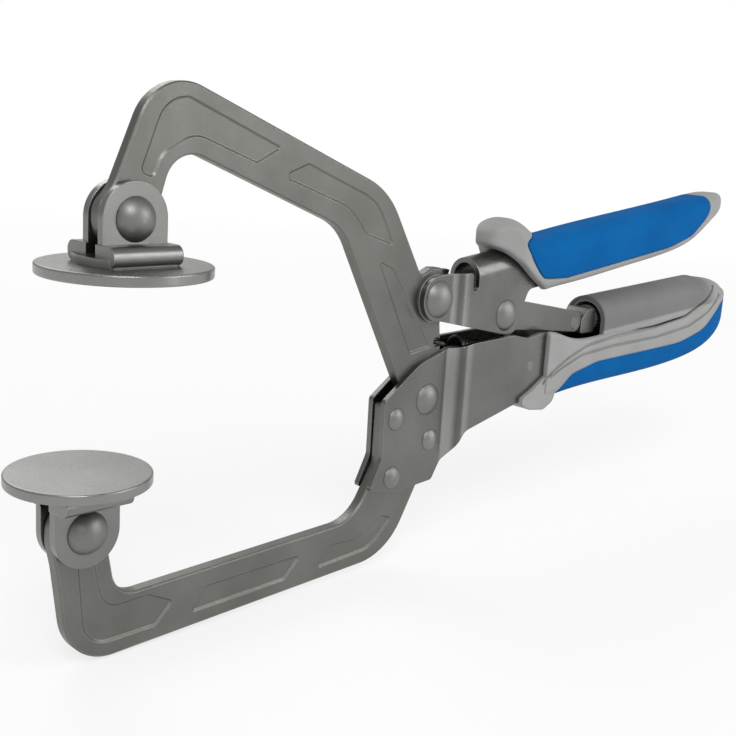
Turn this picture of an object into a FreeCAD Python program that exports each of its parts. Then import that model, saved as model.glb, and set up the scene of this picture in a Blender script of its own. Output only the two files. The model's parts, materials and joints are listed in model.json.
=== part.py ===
import FreeCAD, Part
import math
import os

from FreeCAD import Placement, Rotation, Vector

# Face clamp. Origin at the centre of the lower pad's clamping face, +Z along the clamping
# direction, +X towards the handles, Y across the sheet metal. All sizes in millimetres.

doc = FreeCAD.newDocument("FaceClamp")
sheet = doc.addObject("Spreadsheet::Sheet", "Sizes")

# name, value, what it is
driving = [
    ("arm_thick", 3.3, "upper arm plate"),
    ("side_play", 0.05, "gap each side between the upper arm and the side plates"),
    ("edge_break", 0.4, "chamfer along the arms' edges"),
    ("coin_depth", 0.45, "depth of the coined panels in both arms"),
    ("frame_sheet", 1.5, "sheet of the lower handle"),
    ("lever_sheet", 1.5, "sheet of the upper lever"),
    ("lever_half", 5.6, "half width of the lever behind its step"),
    ("lever_nest", 0.25, "gap between the lever and the side plates round it"),
    ("ear_gap", 1.1, "gap between the arm and the lever's ears, for a washer"),
    ("bracket_gap", 0.3, "gap between an arm and its bracket's ears"),
    ("washer_play", 0.05, "play at each face of a washer"),
    ("grip_play", 0.06, "gap between the lever and the grip round it"),
    ("pin_play", 0.05, "radial running play of every pivot"),
    ("main_x", 108.6, "main pivot"),
    ("main_z", 2.0, "main pivot"),
    ("lever_x", 109.3, "lever pivot"),
    ("lever_z", 30.7, "lever pivot"),
    ("toggle_x", 138.2, "pivot between lever and link"),
    ("toggle_z", 24.2, "pivot between lever and link"),
    ("plunger_x", 176.5, "pivot between link and plunger"),
    ("plunger_z", 18.4, "pivot between link and plunger"),
    ("main_shank", 3.0, "radius"),
    ("main_head", 4.6, "radius"),
    ("main_dome", 2.0, "height of the head"),
    ("lever_shank", 3.0, "radius"),
    ("lever_head", 5.3, "radius"),
    ("lever_dome", 2.8, "height of the head"),
    ("toggle_shank", 2.8, "radius"),
    ("toggle_head", 4.7, "radius"),
    ("toggle_dome", 2.0, "height of the head"),
    ("pad_shank", 3.0, "radius"),
    ("pad_head", 4.9, "radius"),
    ("pad_dome", 3.2, "height of the head"),
    ("small_shank", 2.0, "radius of the three frame rivets"),
    ("small_head", 3.25, "radius"),
    ("small_dome", 1.5, "height of the head"),
    ("upper_disc_radius", 19.05, "upper pad, 1.5 inch across"),
    ("lower_disc_radius", 15.9, "lower pad, 1.25 inch across"),
    ("disc_thick", 2.4, "both pads"),
    ("disc_edge", 0.4, "rounding of the pads' rims"),
    ("upper_pad_x", 11.0, "rivet of the upper pad"),
    ("upper_pad_z", 54.4, "rivet of the upper pad"),
    ("upper_stand", 9.7, "from the upper rivet to the back of its disc"),
    ("lower_pad_x", 0.0, "rivet of the lower pad"),
    ("lower_pad_z", -13.0, "rivet of the lower pad"),
    ("bracket_sheet", 1.9, "sheet of the pad brackets"),
    ("bracket_half", 9.15, "half width across the rolled sides"),
    ("bracket_roll", 4.5, "height of the rolled sides"),
    ("bracket_long", 17.1, "length of the upper bracket's sides"),
    ("lower_bracket_long", 16.4, "length of the lower bracket's sides"),
    ("bracket_ear", 8.0, "radius of the brackets' ears"),
    ("upper_eye", 7.7, "radius of the upper arm's end on its rivet"),
    ("lower_eye", 7.5, "radius of the lower arm's end on its rivet"),
    ("washer_radius", 6.8, "washers at the lever pivot"),
    ("link_half", 3.9, "half width of the toggle link"),
    ("link_sheet", 1.5, "sheet of the toggle link"),
    ("pin_radius", 2.0, "link pin"),
    ("rod_radius", 2.8, "plunger rod"),
    ("rod_end_x", 246.0, "rear end of the rod"),
    ("wheel_radius", 4.5, "pressure wheel"),
    ("wheel_wide", 4.0, "pressure wheel"),
    ("tube_x", 188.0, "mouth of the arched tube"),
    ("tube_radius", 7.9, "outside of the arched tube"),
    ("tube_wall", 1.0, "wall of the arched tube at its mouth"),
    ("tube_z", 18.0, "centre of the arch"),
    ("cavity_end_x", 261.0, "rear end of the tube's cavity"),
    ("sleeve_wall", 0.9, "liner of the tube's mouth"),
    ("sleeve_long", 9.0, "liner of the tube's mouth"),
    ("panel_thick", 1.6, "blue grip panels"),
    ("groove_wide", 0.8, "grooves along the lower grip"),
    ("groove_deep", 0.45, "grooves along the lower grip"),
    ("spring_wire", 0.5, "radius of the jaw spring's wire"),
    ("spring_coil", 2.3, "mean radius of the jaw spring's coil"),
    ("hook_x", 112.5, "hole for the jaw spring in the upper arm"),
    ("hook_z", 17.8, "hole for the jaw spring in the upper arm"),
    ("anchor_x", 150.0, "anchor pin of the jaw spring"),
    ("anchor_z", 8.0, "anchor pin of the jaw spring"),
    ("anchor_radius", 1.4, "anchor pin of the jaw spring"),
]
for row, (alias, number, note) in enumerate(driving, start=1):
    sheet.set("A%d" % row, alias)
    sheet.set("B%d" % row, str(number))
    sheet.setAlias("B%d" % row, alias)
    sheet.set("C%d" % row, note)
doc.recompute()


class Sizes:
    """Reads the sheet's cells by their names."""

    def __getattr__(self, alias):
        return float(getattr(sheet, alias))


s = Sizes()
parts = []
far = 400.0                     # longer than the clamp, for cuts that go right through

# Sizes that follow from the driving ones
arm_half = s.arm_thick / 2
plate_in = arm_half + s.side_play
plate_out = plate_in + s.frame_sheet
lever_in = s.lever_half - s.lever_sheet
wide_in = s.lever_half + s.lever_nest
wide_out = wide_in + s.frame_sheet
ear_in = arm_half + s.ear_gap
ear_out = ear_in + s.lever_sheet
bracket_in = arm_half + s.bracket_gap
bracket_out = bracket_in + s.bracket_sheet
lower_stand = -s.lower_pad_z - s.disc_thick


def corner(before, point, after, radius):
    """Tangent points and middle of the arc that rounds one corner of an outline."""
    one = (before - point).normalize()
    two = (after - point).normalize()
    half = one.getAngle(two) / 2
    reach = radius / math.tan(half)
    middle = (one + two).normalize()
    centre = point + middle * (radius / math.sin(half))
    return point + one * reach, centre - middle * radius, point + two * reach


def outline(points):
    """Closed outline through (u, v, radius) corners, as sketch geometry."""
    flat = [Vector(p[0], p[1], 0) for p in points]
    bends = []
    for i, p in enumerate(points):
        radius = p[2] if len(p) > 2 else 0
        if radius > 0:
            bends.append(corner(flat[i - 1], flat[i], flat[(i + 1) % len(flat)], radius))
        else:
            bends.append((flat[i], None, flat[i]))
    edges = []
    for i, (start, middle, end) in enumerate(bends):
        if middle is not None:
            edges.append(Part.Arc(start, middle, end))
        following = bends[(i + 1) % len(bends)][0]
        if (following - end).dot(flat[(i + 1) % len(flat)] - flat[i]) < -1e-6:
            raise ValueError("corner %d at %s overlaps the next one" % (i, flat[i]))
        if (following - end).Length > 1e-4:
            edges.append(Part.LineSegment(end, following))
    return edges


def circle(u, v, radius):
    return [Part.Circle(Vector(u, v, 0), Vector(0, 0, 1), radius)]


def originPlane(body, role):
    return next(f for f in body.Origin.OriginFeatures if f.Role == role)


def addBody(name):
    body = doc.addObject("PartDesign::Body", name)
    body.Label = name
    return body


def addSketch(body, role, loops, shift=0.0, turn=None):
    """Sketch on an origin plane, moved along its normal by shift, or placed by turn."""
    sketch = body.newObject("Sketcher::SketchObject", body.Name + "_sketch")
    sketch.AttachmentSupport = [(originPlane(body, role), "")]
    sketch.MapMode = "FlatFace"
    sketch.AttachmentOffset = turn if turn else Placement(Vector(0, 0, shift), Rotation())
    for loop in loops:
        sketch.addGeometry(loop, False)
    return sketch


def addPad(body, sketch, length, symmetric=True, bind=None):
    pad = body.newObject("PartDesign::Pad", body.Name + "_pad")
    pad.Profile = sketch
    pad.Length = length
    if symmetric:
        pad.SideType = "Symmetric"
    if bind:
        pad.setExpression("Length", bind)
    return pad


def addPocket(body, sketch, length, symmetric=True, reverse=False, bind=None):
    pocket = body.newObject("PartDesign::Pocket", body.Name + "_pocket")
    pocket.Profile = sketch
    pocket.Length = length
    if symmetric:
        pocket.SideType = "Symmetric"
    pocket.Reversed = reverse
    if bind:
        pocket.setExpression("Length", bind)
    return pocket


def addTurned(body, sketch, angle=360.0):
    turned = body.newObject("PartDesign::Revolution", body.Name + "_turn")
    turned.Profile = sketch
    turned.ReferenceAxis = (sketch, ["V_Axis"])
    turned.Angle = angle
    return turned


def addLoft(body, sketches):
    loft = body.newObject("PartDesign::AdditiveLoft", body.Name + "_loft")
    loft.Profile = sketches[0]
    loft.Sections = sketches[1:]
    return loft


def place(body, x, z):
    """Bind a body's place in the XZ plane to two cells of the sheet."""
    body.setExpression("Placement.Base.x", "Sizes." + x)
    body.setExpression("Placement.Base.z", "Sizes." + z)


def keep(thing, name):
    thing.Label = name
    parts.append(thing)
    return thing


def trimToOutline(body, points, holes=()):
    """Cut everything outside a side outline away, and the holes inside it."""
    frame = [(-far, -far), (far, -far), (far, far), (-far, far)]
    addPocket(body, addSketch(body, "XZ_Plane", [outline(frame), outline(points)]), 2 * far)
    if holes:
        addPocket(body, addSketch(body, "XZ_Plane", [circle(*h) for h in holes]), 2 * far)


def domeArc(radius, height, seat, side):
    """Arc of a rivet's head from its rim to its crown, as three points."""
    ball = (radius ** 2 + height ** 2) / (2 * height)
    centre = seat + height - ball
    half = math.asin(min(1.0, radius / ball)) / 2
    if height > radius:
        half = (math.pi - math.asin(radius / ball)) / 2
    rim = Vector(radius, side * seat, 0)
    middle = Vector(ball * math.sin(half), side * (centre + ball * math.cos(half)), 0)
    crown = Vector(0, side * (seat + height), 0)
    return rim, middle, crown


def rivetSolid(name, seat, shank, head, dome):
    """Rivet along Y with two domed heads, their undersides at -seat and +seat."""
    body = addBody(name)
    rim, middle, crown = domeArc(head, dome, seat, 1)
    lowRim, lowMiddle, lowCrown = domeArc(head, dome, seat, -1)
    foot = Vector(shank, seat, 0)
    lowFoot = Vector(shank, -seat, 0)
    edges = [
        Part.LineSegment(lowCrown, crown),
        Part.Arc(crown, middle, rim),
        Part.LineSegment(rim, foot),
        Part.LineSegment(foot, lowFoot),
        Part.LineSegment(lowFoot, lowRim),
        Part.Arc(lowRim, lowMiddle, lowCrown),
    ]
    addTurned(body, addSketch(body, "XY_Plane", [edges]))
    return body


def ringPair(name, bore, radius, near, thick):
    """Two equal washers on one axis, mirrored across the middle plane."""
    pair = []
    for side in (1, -1):
        disc = doc.addObject("Part::Cylinder", name + "_disc")
        disc.Radius = radius
        disc.Height = thick
        hole = doc.addObject("Part::Cylinder", name + "_hole")
        hole.Radius = bore
        hole.Height = thick
        start = near if side > 0 else -near - thick
        for part in (disc, hole):
            part.Placement = Placement(Vector(0, start + thick, 0), Rotation(Vector(1, 0, 0), 90))
        ring = doc.addObject("Part::Cut", name + "_ring")
        ring.Base = disc
        ring.Tool = hole
        pair.append(ring)
    group = doc.addObject("Part::Compound", name)
    group.Links = pair
    return group


# Arms

def breakEdges(body, pad, half):
    """Small chamfer round both flat sides of a plate."""
    doc.recompute()
    names = []
    for i, edge in enumerate(pad.Shape.Edges, start=1):
        box = edge.BoundBox
        if box.YLength < 1e-6 and abs(abs(box.YMin) - half) < 1e-6:
            names.append("Edge%d" % i)
    chamfer = body.newObject("PartDesign::Chamfer", body.Name + "_edges")
    chamfer.Base = (pad, names)
    chamfer.Size = s.edge_break
    chamfer.setExpression("Size", "Sizes.edge_break")
    body.Tip = chamfer


def upperArm():
    """C-shaped bar that widens into the plate with both pivots."""
    body = addBody("upper_arm")
    ex, ez, eye = s.upper_pad_x, s.upper_pad_z, s.upper_eye
    px, pz = s.main_x, s.main_z
    boss = 6.6
    points = [
        (17.7, 86.9, 12.5),                     # front top corner
        (89.6, 60.3, 23.0),                     # outer bend
        (104.1, 37.2, 1.2),                     # foot of the lug over the lever
        (108.6, 39.2, 3.0),
        (112.7, 39.0, 1.2),
        (113.4, 23.0, 8.0),
        (px + boss, pz + 8.0, 6.0),
        (px + boss, pz - boss, boss - 0.2),     # round end on the main pivot
        (px - 3.8, pz - boss, boss - 0.2),
        (73.3, 51.1, 15.0),                     # inner bend
        (22.4, 70.2, 7.2),                      # inner front corner
        (ex + eye, ez + 3.8, 3.0),
        (ex + eye, ez - eye, eye - 0.05),       # eye on the pad's rivet
        (ex - eye, ez - eye, eye - 0.05),
        (ex - eye, ez + 2.8, 5.0),
        (6.9, 61.2, 8.0),
    ]
    plate = addPad(body, addSketch(body, "XZ_Plane", [outline(points)]), s.arm_thick,
                   bind="Sizes.arm_thick")
    breakEdges(body, plate, arm_half)
    holes = [
        circle(px, pz, s.main_shank + s.pin_play),
        circle(s.lever_x, s.lever_z, s.lever_shank + s.pin_play),
        circle(ex, ez, s.pad_shank),
        circle(s.hook_x, s.hook_z, 2.9 * s.spring_wire),
    ]
    addPocket(body, addSketch(body, "XZ_Plane", holes), 2 * far)
    panels = [
        [(13.2, 64.2, 1.6), (19.2, 79.6, 8.0), (25.4, 80.6, 4.0), (52.6, 70.2, 0.6),
         (44.9, 66.3, 0.8), (27.2, 72.4, 7.5), (19.0, 67.8, 5.0), (16.6, 62.3, 1.6)],
        [(54.2, 64.4, 0.8), (61.0, 66.9, 1.0), (85.6, 57.8, 14.0), (92.8, 45.6, 0.8),
         (82.2, 48.8, 1.0), (75.6, 55.8, 12.0), (55.0, 62.6, 0.8)],
        [(86.6, 42.6, 0.8), (93.2, 39.6, 0.8), (110.0, 16.6, 0.8), (101.4, 15.4, 0.8)],
    ]
    coinPanels(body, panels)
    return keep(body, "upper_arm")


def lowerArm():
    """C-shaped bar with a hooked end that is clamped between the side plates."""
    body = addBody("lower_arm")
    ex, ez, eye = s.lower_pad_x, s.lower_pad_z, s.lower_eye
    px, pz = s.main_x, s.main_z
    points = [
        (ex - eye, ez + eye, eye - 0.05),       # eye on the pad's rivet
        (ex + eye, ez + eye, eye - 0.05),
        (ex + eye, ez - 2.2, 3.0),
        (6.6, -19.0, 4.0),
        (8.8, -31.1, 6.5),                      # inner front corner
        (83.3, -29.1, 12.5),                    # inner bend
        (92.0, -14.4, 4.0),
        (92.0, pz + 0.4, 0.8),
        (px - 12.3, pz + 0.4, 0.8),
        (px - 1.0, pz - 8.35, 7.2),             # hollow round the upper arm's end
        (px + 7.8, pz - 4.3, 1.0),
        (px + 8.4, pz - 10.0, 3.0),
        (97.6, -42.3, 18.5),                    # outer bend
        (-3.0, -45.4, 12.5),                    # front bottom corner
        (-6.3, -20.6, 6.0),
        (ex - eye, ez - 2.0, 4.0),
    ]
    plate = addPad(body, addSketch(body, "XZ_Plane", [outline(points)]), 2 * plate_in,
                   bind="Sizes.arm_thick + 2 * Sizes.side_play")
    breakEdges(body, plate, plate_in)
    holes = [circle(x, z, s.small_shank) for x, z in smallRivets()]
    holes.append(circle(ex, ez, s.pad_shank))
    addPocket(body, addSketch(body, "XZ_Plane", holes), 2 * far)
    panels = [
        [(-1.2, -21.0, 1.2), (0.6, -41.6, 7.0), (19.6, -41.4, 1.0), (24.8, -36.2, 0.8),
         (17.4, -32.6, 1.0), (5.8, -33.0, 5.0), (3.2, -21.0, 1.2)],
        [(29.0, -41.0, 0.8), (59.4, -40.2, 0.8), (65.2, -34.4, 0.8), (34.4, -35.0, 0.8)],
        [(69.8, -40.0, 0.8), (90.5, -38.9, 10.0), (99.0, -31.4, 0.8), (94.4, -29.8, 0.8),
         (86.0, -34.6, 8.0), (75.0, -34.2, 0.8)],
    ]
    coinPanels(body, panels, plate_in)
    return keep(body, "lower_arm")


coinSlope = -50.0               # walls of the coined panels, degrees off upright


def coinPanels(body, panels, half=None):
    """Shallow recesses pressed into both faces of an arm."""
    half = half or arm_half
    for panel in panels:
        near = addSketch(body, "XZ_Plane", [outline(panel)], half)
        back = addSketch(body, "XZ_Plane", [outline(panel)], -half)
        for sketch, reverse in ((near, False), (back, True)):
            recess = addPocket(body, sketch, s.coin_depth, False, reverse, "Sizes.coin_depth")
            recess.TaperAngle = coinSlope


def smallRivets():
    return [(s.main_x - 12.3, s.main_z - 4.0), (s.main_x + 2.2, s.main_z - 12.2),
            (s.main_x - 12.6, s.main_z - 20.8)]


# Lower handle

stepFrame = (116.6, 119.8)      # where the side plates step outwards
stepLever = (115.4, 119.4)      # where the lever's ears step outwards
webStart = 129.0                # front end of the closed underside
tailEnd = 256.0                 # rear end of the sheet inside the lower grip


def steppedPlates(body, start, end, step, narrow, wide, thick, low, high):
    """Two side plates, close together in front and stepped outwards behind."""
    turn = math.atan2(wide - narrow, step[1] - step[0])
    shift = thick * math.tan(turn / 2)
    bend = 1.2
    for side in (1, -1):
        points = [
            (start, side * narrow), (step[0], side * narrow, bend + thick),
            (step[1], side * wide, bend),
            (end, side * wide), (end, side * (wide + thick)),
            (step[1] - shift, side * (wide + thick), bend + thick),
            (step[0] - shift, side * (narrow + thick), bend), (start, side * (narrow + thick)),
        ]
        sketch = addSketch(body, "XY_Plane", [outline(points)], low)
        addPad(body, sketch, high - low, symmetric=False)


def frameOutline():
    px, pz = s.main_x, s.main_z
    return [
        (91.4, pz + 1.6, 1.5),
        (104.4, 12.6, 14.0),
        (121.0, 17.5, 22.0),
        (134.0, 17.9, 14.0),
        (141.0, 18.2, 8.0),
        (148.0, 16.6, 10.0),
        (155.0, 17.6, 6.0),
        (160.5, 17.2, 2.0),
        (168.0, 12.4, 4.0),
        (tailEnd, 12.4, 2.0),
        (tailEnd, 4.0, 2.0),
        (167.0, 1.8, 30.0),
        (121.0, -8.4, 4.0),
        (112.6, pz - 24.4, 1.5),
        (px - 11.6, pz - 25.4, 8.0),
        (87.4, pz - 23.0, 1.0),
        (91.6, -12.4, 3.0),
    ]


def handleFrame():
    """Bent sheet of the lower handle: two stepped side plates and a closed underside."""
    body = addBody("handle_frame")
    steppedPlates(body, 80.0, tailEnd, stepFrame, plate_in, wide_in, s.frame_sheet, -30.0, 25.0)
    web = [
        (webStart, -6.6), (167.0, 1.8, 30.0), (tailEnd, 4.0), (tailEnd, 4.0 + s.frame_sheet),
        (167.0, 1.8 + s.frame_sheet, 30.0), (webStart, -6.6 + s.frame_sheet),
    ]
    addPad(body, addSketch(body, "XZ_Plane", [outline(web)]), 2 * wide_in + 1.0)
    holes = [(x, z, s.small_shank) for x, z in smallRivets()]
    holes.append((s.main_x, s.main_z, s.main_shank))
    holes.append((s.anchor_x, s.anchor_z, s.anchor_radius))
    trimToOutline(body, frameOutline(), holes)
    return keep(body, "handle_frame")


def roundedSection(half, low, high, foot, top):
    """Section of a grip across X: a block with rounded feet and a rounder top."""
    return outline([(-half, low, foot), (half, low, foot), (half, high, top), (-half, high, top)])


def gripLoft(name, stations, inset=0.0):
    """Moulded shape through sections (x, half width, low, high, foot radius, top radius)."""
    body = addBody(name)
    addGripStations(body, stations, inset)
    return body


def addGripStations(body, stations, inset=0.0):
    sketches = []
    for x, half, low, high, foot, top in stations:
        if half < 2 * inset:
            continue
        foot = max(foot - inset, 0.3)
        top = max(top - inset, 0.3)
        loop = roundedSection(half - inset, low + inset, high - inset, foot, top)
        sketches.append(addSketch(body, "YZ_Plane", [loop], x))
    addLoft(body, sketches)


lowerStations = [
    (157.0, 8.9, -3.4, 17.8, 2.6, 1.6),
    (163.0, 9.2, -3.0, 16.8, 3.0, 1.6),
    (171.0, 9.2, -2.5, 14.6, 3.4, 1.6),
    (188.0, 9.2, -1.9, 14.4, 3.8, 1.6),
    (215.0, 9.2, -1.4, 14.4, 4.0, 1.8),
    (238.0, 9.0, -0.2, 16.2, 4.2, 2.2),
    (254.0, 8.5, 2.0, 20.0, 4.2, 3.2),
    (265.0, 7.2, 5.2, 23.4, 3.8, 3.4),
    (272.0, 5.4, 9.0, 24.2, 3.2, 3.2),
    (276.0, 3.2, 12.6, 23.4, 2.4, 2.4),
    (277.4, 1.6, 15.0, 21.6, 1.2, 1.2),
]


def archSection(half, floor, centre):
    """Section of the tube: straight legs and a round top."""
    top = Vector(0, centre + half, 0)
    left = Vector(-half, centre, 0)
    right = Vector(half, centre, 0)
    return [
        Part.LineSegment(Vector(-half, floor, 0), Vector(half, floor, 0)),
        Part.LineSegment(Vector(half, floor, 0), right),
        Part.Arc(right, top, left),
        Part.LineSegment(left, Vector(-half, floor, 0)),
    ]


def lowerGripBlank(name):
    """Outside of the lower grip with its finger guard and arched tube, still solid."""
    body = gripLoft(name, lowerStations)
    guard = [
        (143.4, -2.6, 1.6), (149.4, -5.6, 6.0), (157.0, -6.6, 4.0), (161.6, -4.4, 3.0),
        (162.7, -1.0), (162.7, 4.0), (157.0, 4.0), (150.0, 0.2),
    ]
    addPad(body, addSketch(body, "XZ_Plane", [outline(guard)]), 17.4)
    tube = [
        (s.tube_x, s.tube_radius, 8.0, s.tube_z),
        (s.tube_x + 64.0, s.tube_radius, 9.0, s.tube_z + 3.5),
        (s.tube_x + 75.0, 7.0, 11.0, s.tube_z + 3.0),
        (s.tube_x + 83.0, 5.2, 13.0, s.tube_z + 3.0),
        (s.tube_x + 87.6, 3.2, 15.0, s.tube_z + 2.6),
    ]
    sections = [addSketch(body, "YZ_Plane", [archSection(h, f, c)], x) for x, h, f, c in tube]
    addLoft(body, sections[:2])
    again = addSketch(body, "YZ_Plane", [archSection(*tube[1][1:])], tube[1][0])
    addLoft(body, [again] + sections[2:])
    return body


lowerSplit = [(162.8, -1.6), (170.0, 3.4, 8.0), (184.0, 6.0, 30.0), (236.0, 7.1, 60.0),
              (254.0, 10.6, 30.0), (269.0, 19.5, 12.0), (279.0, 20.5), (279.0, -12.0),
              (162.8, -12.0)]

# middle lines of the two grooves along each side
lowerGrooves = [
    [(155.6, 1.6), (157.9, 4.3), (166.3, 8.5), (177.5, 11.9), (192.1, 13.3), (218.7, 14.2),
     (240.2, 16.2), (254.5, 21.2), (262.9, 25.6)],
    [(158.6, 3.6), (164.4, 6.0), (174.4, 9.0), (192.7, 10.3), (219.5, 10.7), (241.1, 12.6),
     (255.8, 16.6), (266.6, 22.3)],
]


def splitBlank(name, points):
    body = addBody(name)
    addPad(body, addSketch(body, "XZ_Plane", [outline(points)]), 30.0)
    return body


def cut(name, base, tool):
    result = doc.addObject("Part::Cut", name)
    result.Base = base
    result.Tool = tool
    return result


def common(name, base, tool):
    result = doc.addObject("Part::Common", name)
    result.Base = base
    result.Tool = tool
    return result


def fuse(name, base, tool):
    result = doc.addObject("Part::Fuse", name)
    result.Base = base
    result.Tool = tool
    return result


def channelRoom():
    """Room for the sheet and the linkage inside the lower grip."""
    body = addBody("channel_room")
    side = [
        (130.0, 30.0), (s.tube_x, 30.0), (s.tube_x, 12.4), (tailEnd, 12.4),
        (tailEnd, 4.0), (167.0, 1.8, 30.0), (121.0, -8.4),
    ]
    addPad(body, addSketch(body, "XZ_Plane", [outline(side)]), 2 * wide_out)
    arch = archSection(s.tube_radius - s.tube_wall, 10.0, s.tube_z)
    sketch = addSketch(body, "YZ_Plane", [arch], s.tube_x - 1.0)
    addPad(body, sketch, s.cavity_end_x - s.tube_x + 1.0, symmetric=False)
    return body


def strip(points, wide):
    """Closed outline round a bent line, wide across."""
    line = [Vector(x, z, 0) for x, z in points]
    upper, lower = [], []
    for i, point in enumerate(line):
        along = line[min(i + 1, len(line) - 1)] - line[max(i - 1, 0)]
        across = Vector(-along.y, along.x, 0).normalize() * (wide / 2)
        upper.append((point.x + across.x, point.y + across.y, 12.0 if 0 < i < len(line) - 1 else 0))
        lower.append((point.x - across.x, point.y - across.y, 12.0 if 0 < i < len(line) - 1 else 0))
    return outline(upper + lower[::-1])


def grooveTool(depth):
    """Two thin ribs on each side that stand out of a slimmer copy of the grip."""
    ribs = addBody("groove_ribs")
    for line in lowerGrooves:
        addPad(ribs, addSketch(ribs, "XZ_Plane", [strip(line, s.groove_wide)]), 24.0)
    slim = gripLoft("groove_core", lowerStations, depth)
    return cut("groove_tool", ribs, slim)


def lowerGrip():
    """Pale moulding and blue underside, split along the line seen from the side."""
    blank = lowerGripBlank("lower_blank")
    again = lowerGripBlank("lower_blank_again")
    room = channelRoom()
    roomAgain = channelRoom()
    split = splitBlank("lower_split", lowerSplit)
    splitAgain = splitBlank("lower_split_again", lowerSplit)
    plain = cut("lower_pale_plain", cut("lower_pale_open", blank, room), split)
    pale = cut("lower_pale", plain, grooveTool(s.groove_deep))
    blue = cut("lower_blue", common("lower_blue_solid", again, splitAgain), roomAgain)
    keep(pale, "lower_grip")
    keep(blue, "lower_grip_panel")


def guideSleeve():
    """Liner inside the tube's mouth."""
    body = addBody("guide_sleeve")
    half = s.tube_radius - s.tube_wall
    start = s.tube_x + 0.4
    outer = archSection(half, 12.5, s.tube_z)
    inner = archSection(half - s.sleeve_wall, 12.5, s.tube_z)
    addPad(body, addSketch(body, "YZ_Plane", [outer], start), s.sleeve_long, False,
           "Sizes.sleeve_long")
    addPocket(body, addSketch(body, "YZ_Plane", [inner], s.tube_x), 2 * s.sleeve_long, False, True)
    return keep(body, "guide_sleeve")


def webTop(x):
    """Height of the channel's floor inside the grip."""
    return 1.8 + s.frame_sheet + (x - 167.0) * (4.0 - 1.8) / (tailEnd - 167.0)


def lockPlate():
    """Clutch plate across the tube with a tall slot for the rod."""
    body = addBody("lock_plate")
    where = 217.0
    outer = archSection(wide_in - 0.2, webTop(where) + 0.1, s.tube_z)
    slot = s.rod_radius + 0.35
    low, high = 12.0, 22.6
    hole = outline([(-slot, low, slot - 0.05), (slot, low, slot - 0.05),
                    (slot, high, slot - 0.05), (-slot, high, slot - 0.05)])
    addPad(body, addSketch(body, "YZ_Plane", [outer, hole], where), 2.0, False)
    return keep(body, "lock_plate")


def tubeEndPlug():
    """Plug that closes the rear of the cavity."""
    body = addBody("tube_end_plug")
    thick = 1.6
    outer = archSection(s.tube_radius - s.tube_wall, 10.0, s.tube_z)
    addPad(body, addSketch(body, "YZ_Plane", [outer], s.cavity_end_x - thick), thick, False)
    return keep(body, "tube_end_plug")


# Upper lever and its grip

axisSlope = math.radians(7.3)   # the lever rises towards its tip
archX = 121.6                   # front of the rounded top
archZ = 35.2                    # centre of the rounded top there
tangEnd = 246.0                 # rear end of the lever inside its grip


def leverAxis(x):
    return archZ + (x - archX) * math.tan(axisSlope)


def leverOutline():
    lx, lz = s.lever_x, s.lever_z
    tx, tz = s.toggle_x, s.toggle_z
    ear = 6.3
    return [
        (lx - ear, lz + ear, ear - 0.05),
        (lx - ear, lz - ear, ear - 0.05),
        (lx + 1.0, lz - ear, 4.0),
        (tx + 6.2, tz - 7.2, 6.0),
        (tx + 8.0, tz + 3.0, 3.0),
        (tx + 10.0, 31.4, 3.0),
        (158.0, 32.4, 4.0),
        (tangEnd, leverAxis(tangEnd) - 3.4, 1.0),
        (tangEnd, 70.0),
        (124.4, 70.0),
        (124.4, 32.4, 1.2),
        (121.8, 32.4, 1.2),
        (121.8, lz + ear + 0.6, 1.0),
    ]


def upperLever():
    """Folded lever: two stepped ears, and a body rounded on top and open below."""
    body = addBody("upper_lever")
    steppedPlates(body, 95.0, archX + 6.0, stepLever, ear_in, lever_in, s.lever_sheet, 14.0, archZ)
    steppedPlates(body, 95.0, archX + 1.0, stepLever, ear_in, lever_in, s.lever_sheet, archZ - 1.0,
                  archZ + 4.0)
    outer = archSection(s.lever_half, -24.0, 0.0)
    inner = archSection(lever_in, -25.0, 0.0)
    turn = Placement(Vector(0, archZ, archX), Rotation(Vector(1, 0, 0), -math.degrees(axisSlope)))
    long = (tangEnd - archX) / math.cos(axisSlope) + 10.0
    addPad(body, addSketch(body, "YZ_Plane", [outer], turn=turn), long, False)
    addPocket(body, addSketch(body, "YZ_Plane", [inner], turn=turn), long + 60.0, False, True)
    holes = [(s.lever_x, s.lever_z, s.lever_shank + s.pin_play),
             (s.toggle_x, s.toggle_z, s.toggle_shank)]
    trimToOutline(body, leverOutline(), holes)
    return keep(body, "upper_lever")


upperStations = [
    (149.0, 8.8, 30.6, 47.9, 2.4, 6.6),
    (156.0, 8.9, 31.2, 46.9, 2.6, 6.4),
    (166.0, 8.9, 32.2, 48.0, 2.8, 6.4),
    (200.0, 8.9, 36.4, 52.5, 2.8, 6.6),
    (225.0, 8.9, 39.8, 55.6, 3.0, 6.6),
    (240.0, 8.8, 43.8, 57.5, 3.2, 6.2),
    (250.0, 8.0, 48.6, 58.8, 3.0, 5.0),
    (257.0, 6.8, 51.8, 59.6, 2.4, 3.8),
    (261.5, 4.8, 53.6, 59.8, 1.8, 2.8),
    (264.0, 2.6, 55.0, 59.2, 1.2, 1.8),
]

hornStations = [
    (131.2, 8.0, 28.0, 48.4, 2.4, 6.4),
    (135.0, 8.6, 28.4, 51.2, 2.4, 7.2),
    (140.0, 8.8, 29.0, 52.4, 2.4, 7.6),
    (145.0, 8.8, 29.8, 50.6, 2.4, 7.4),
    (150.0, 8.8, 30.7, 47.9, 2.4, 6.8),
]

hornNose = [(131.0, -3.2, 4.5), (131.0, 3.2, 4.5), (143.4, 9.8, 6.0), (280.0, 9.8), (280.0, -9.8),
            (143.4, -9.8, 6.0)]

hornFront = [(100.0, 20.0), (100.0, 60.0), (125.0, 60.0), (130.6, 45.2, 2.0), (136.4, 43.2, 4.0),
             (147.0, 35.2, 8.0), (153.6, 31.0, 2.0), (153.6, 20.0)]

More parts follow.
